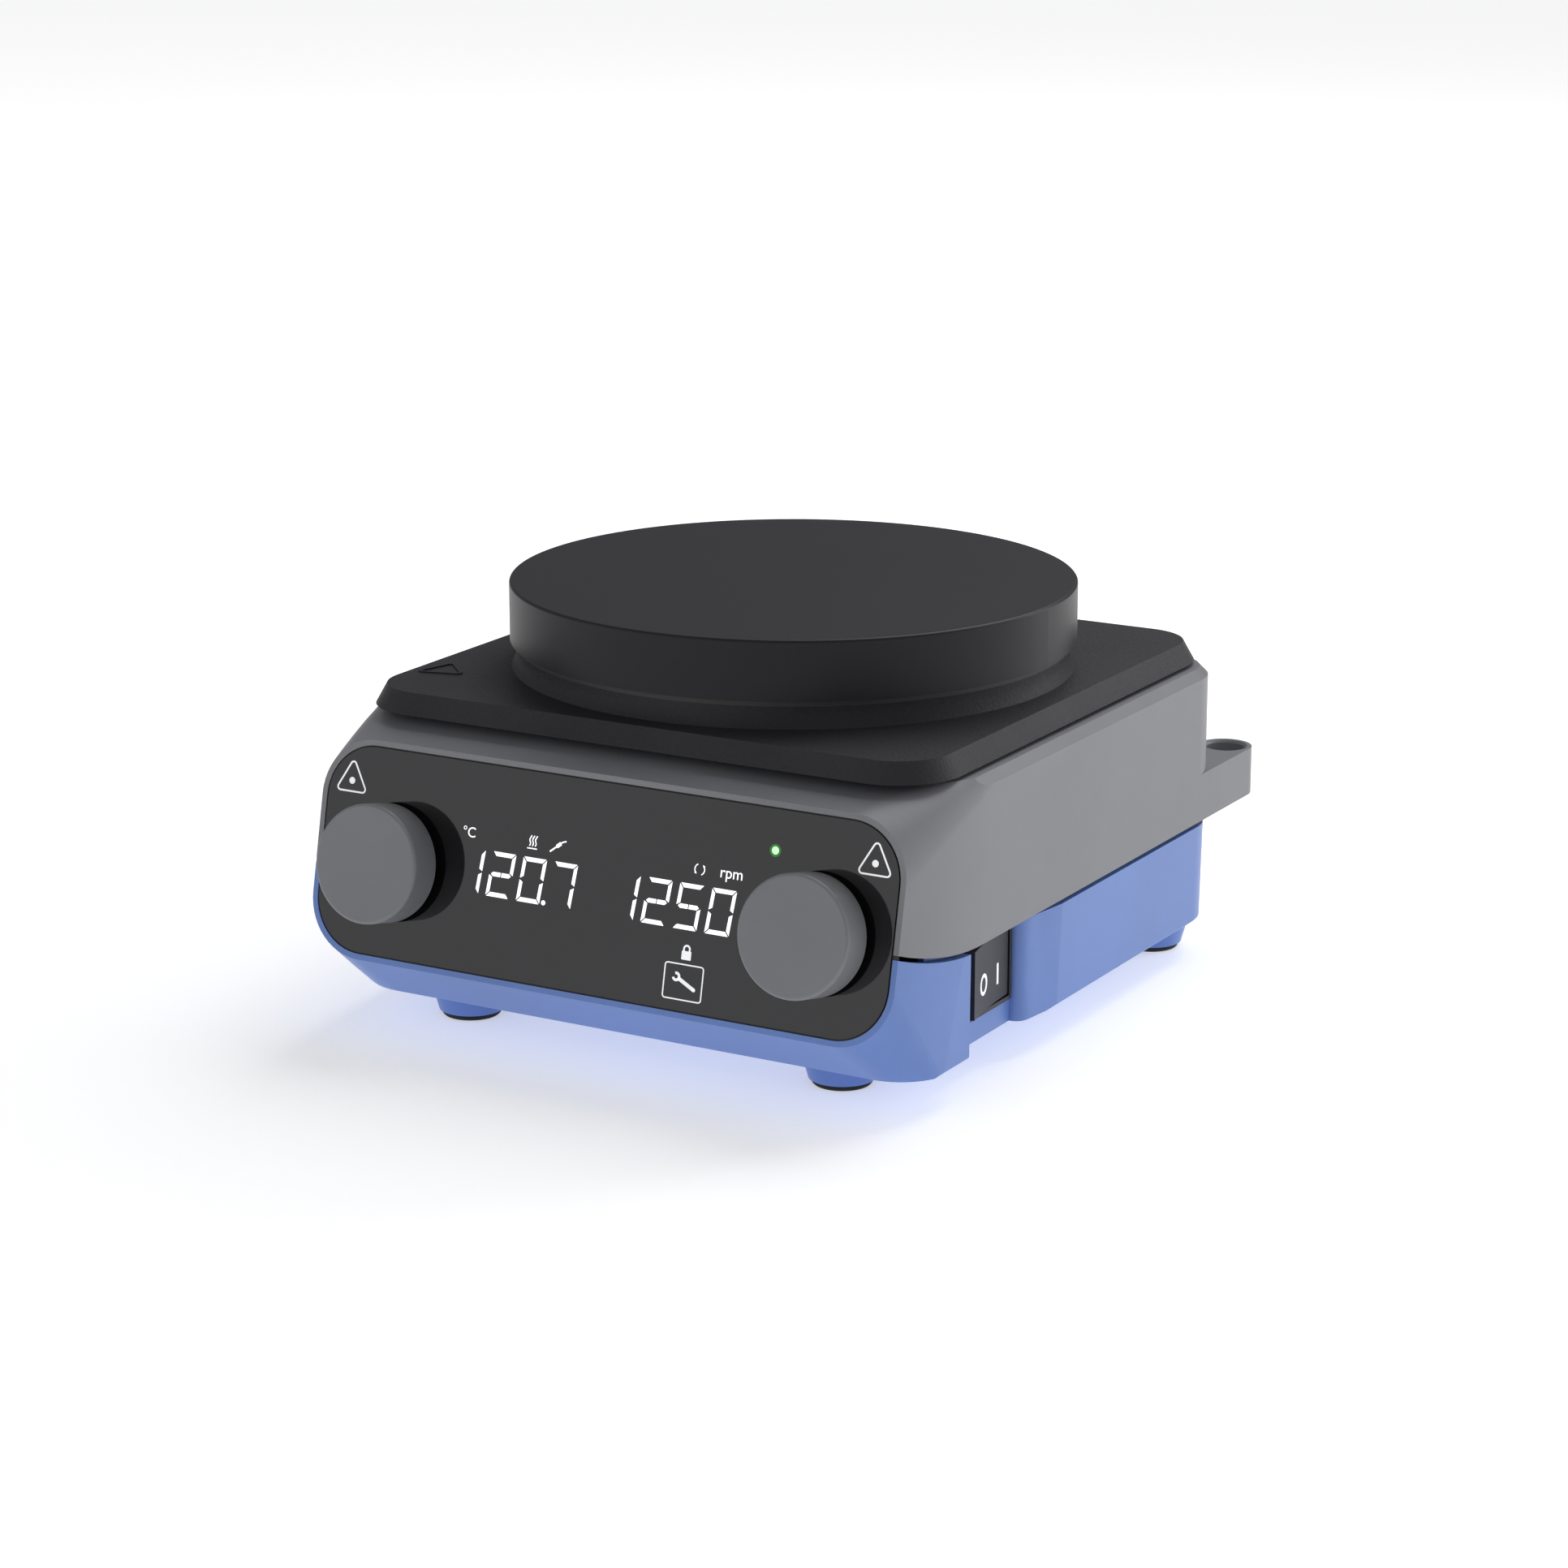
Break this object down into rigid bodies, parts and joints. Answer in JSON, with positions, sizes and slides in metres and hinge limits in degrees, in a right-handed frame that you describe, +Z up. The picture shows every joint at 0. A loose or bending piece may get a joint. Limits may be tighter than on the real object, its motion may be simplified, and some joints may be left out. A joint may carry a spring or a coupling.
{
  "type": "magnetic stirrer",
  "caption": "Bench hotplate stirrer with a round heated plate over spinning magnets, a sloping panel with two press-and-turn knobs, a side rocker switch and a rod lug.",
  "frame": {"origin": "on the surface it stands on, under the centre of the overall box (the plate's axis is 2.78 mm behind it)", "axes": "+Z up; -Y towards the control panel and its user; +X to the user's right"},
  "size_m": [0.16, 0.1974, 0.0985],
  "materials": {
    "grey_housing": "satin powder coat",
    "blue_plastic": "fine satin",
    "black_cover": "fine leather-like grain",
    "plate_coating": "dark matt coating",
    "seal_rubber": "matt",
    "ceramic_white": "matt",
    "mineral_wool": "fibrous",
    "bright_steel": "bright zinc",
    "cast_aluminium": "fine cast",
    "copper_winding": "enamelled wire",
    "panel_gloss": "gloss",
    "board_green": "solder mask",
    "display_black": "gloss",
    "light_green": "clear, lit",
    "switch_black": "satin",
    "rocker_black": "satin",
    "brass_contact": "plated",
    "iron_core": "varnished laminations",
    "capacitor_sleeve": "shrunk sleeve",
    "foot_rubber": "matt",
    "magnet_nickel": "nickel",
    "knob_grey": "satin"
  },
  "bodies": {
    "housing": {"upper_housing": "grey_housing", "lower_housing": "blue_plastic", "splash_cover": "black_cover", "heating_plate": "plate_coating", "plate_ring_seal": "seal_rubber", "heating_element": "ceramic_white", "insulation_disc": "mineral_wool", "heat_shield": "bright_steel", "plate_temperature_sensor": "bright_steel", "plate_standoffs": "bright_steel", "plate_screws": "bright_steel", "motor_bracket": "bright_steel", "bracket_screws": "bright_steel", "motor_housing": "cast_aluminium", "motor_end_cap": "cast_aluminium", "motor_bearings": "bright_steel", "motor_stator": "copper_winding", "motor_screws": "bright_steel", "front_panel": "panel_gloss", "panel_gasket": "seal_rubber", "control_board": "board_green", "display_module": "display_black", "status_light": "light_green", "shaft_seals": "seal_rubber", "temperature_encoder": "switch_black", "speed_encoder": "switch_black", "switch_body": "switch_black", "rocker_pin": "bright_steel", "switch_terminals": "brass_contact", "power_board": "board_green", "board_posts": "brass_contact", "board_screws": "bright_steel", "transformer": "iron_core", "capacitors": "capacitor_sleeve", "heat_sink": "cast_aluminium", "base_screws": "bright_steel", "foot_pads": "foot_rubber", "mains_inlet": "switch_black", "inlet_blades": "brass_contact", "inlet_screws": "bright_steel", "probe_socket": "cast_aluminium"},
    "magnet_rotor": {"motor_shaft": "bright_steel", "rotor_core": "iron_core", "magnet_carrier": "cast_aluminium", "stirring_magnets": "magnet_nickel", "carrier_screw": "bright_steel"},
    "temperature_pusher": {"temperature_push_plunger": "ceramic_white"},
    "temperature_dial": {"temperature_knob": "knob_grey", "temperature_encoder_shaft": "bright_steel"},
    "speed_pusher": {"speed_push_plunger": "ceramic_white"},
    "speed_dial": {"speed_knob": "knob_grey", "speed_encoder_shaft": "bright_steel"},
    "power_rocker": {"switch_rocker": "rocker_black"}
  },
  "joints": [
    {"name": "stirring_spin", "type": "hinge", "parent": "housing", "child": "magnet_rotor", "pos_m": [0, 0.00278, 0.05], "axis": [0, 0, 1], "continuous": true},
    {"name": "temperature_knob_press", "type": "slide", "parent": "housing", "child": "temperature_pusher", "axis": [0, 0.9781, -0.2079], "range_m": [0, 0.0007], "stiffness_N_per_m": 3000},
    {"name": "temperature_knob_turn", "type": "hinge", "parent": "temperature_pusher", "child": "temperature_dial", "pos_m": [-0.056, -0.08573, 0.04179], "axis": [0, -0.9781, 0.2079], "continuous": true},
    {"name": "speed_knob_press", "type": "slide", "parent": "housing", "child": "speed_pusher", "axis": [0, 0.9781, -0.2079], "range_m": [0, 0.0007], "stiffness_N_per_m": 3000},
    {"name": "speed_knob_turn", "type": "hinge", "parent": "speed_pusher", "child": "speed_dial", "pos_m": [0.056, -0.08573, 0.04179], "axis": [0, -0.9781, 0.2079], "continuous": true},
    {"name": "power_rocker_tilt", "type": "hinge", "parent": "housing", "child": "power_rocker", "pos_m": [0.0725, -0.04222, 0.024], "axis": [0, 0, -1], "range_deg": [0, 14]}
  ]
}
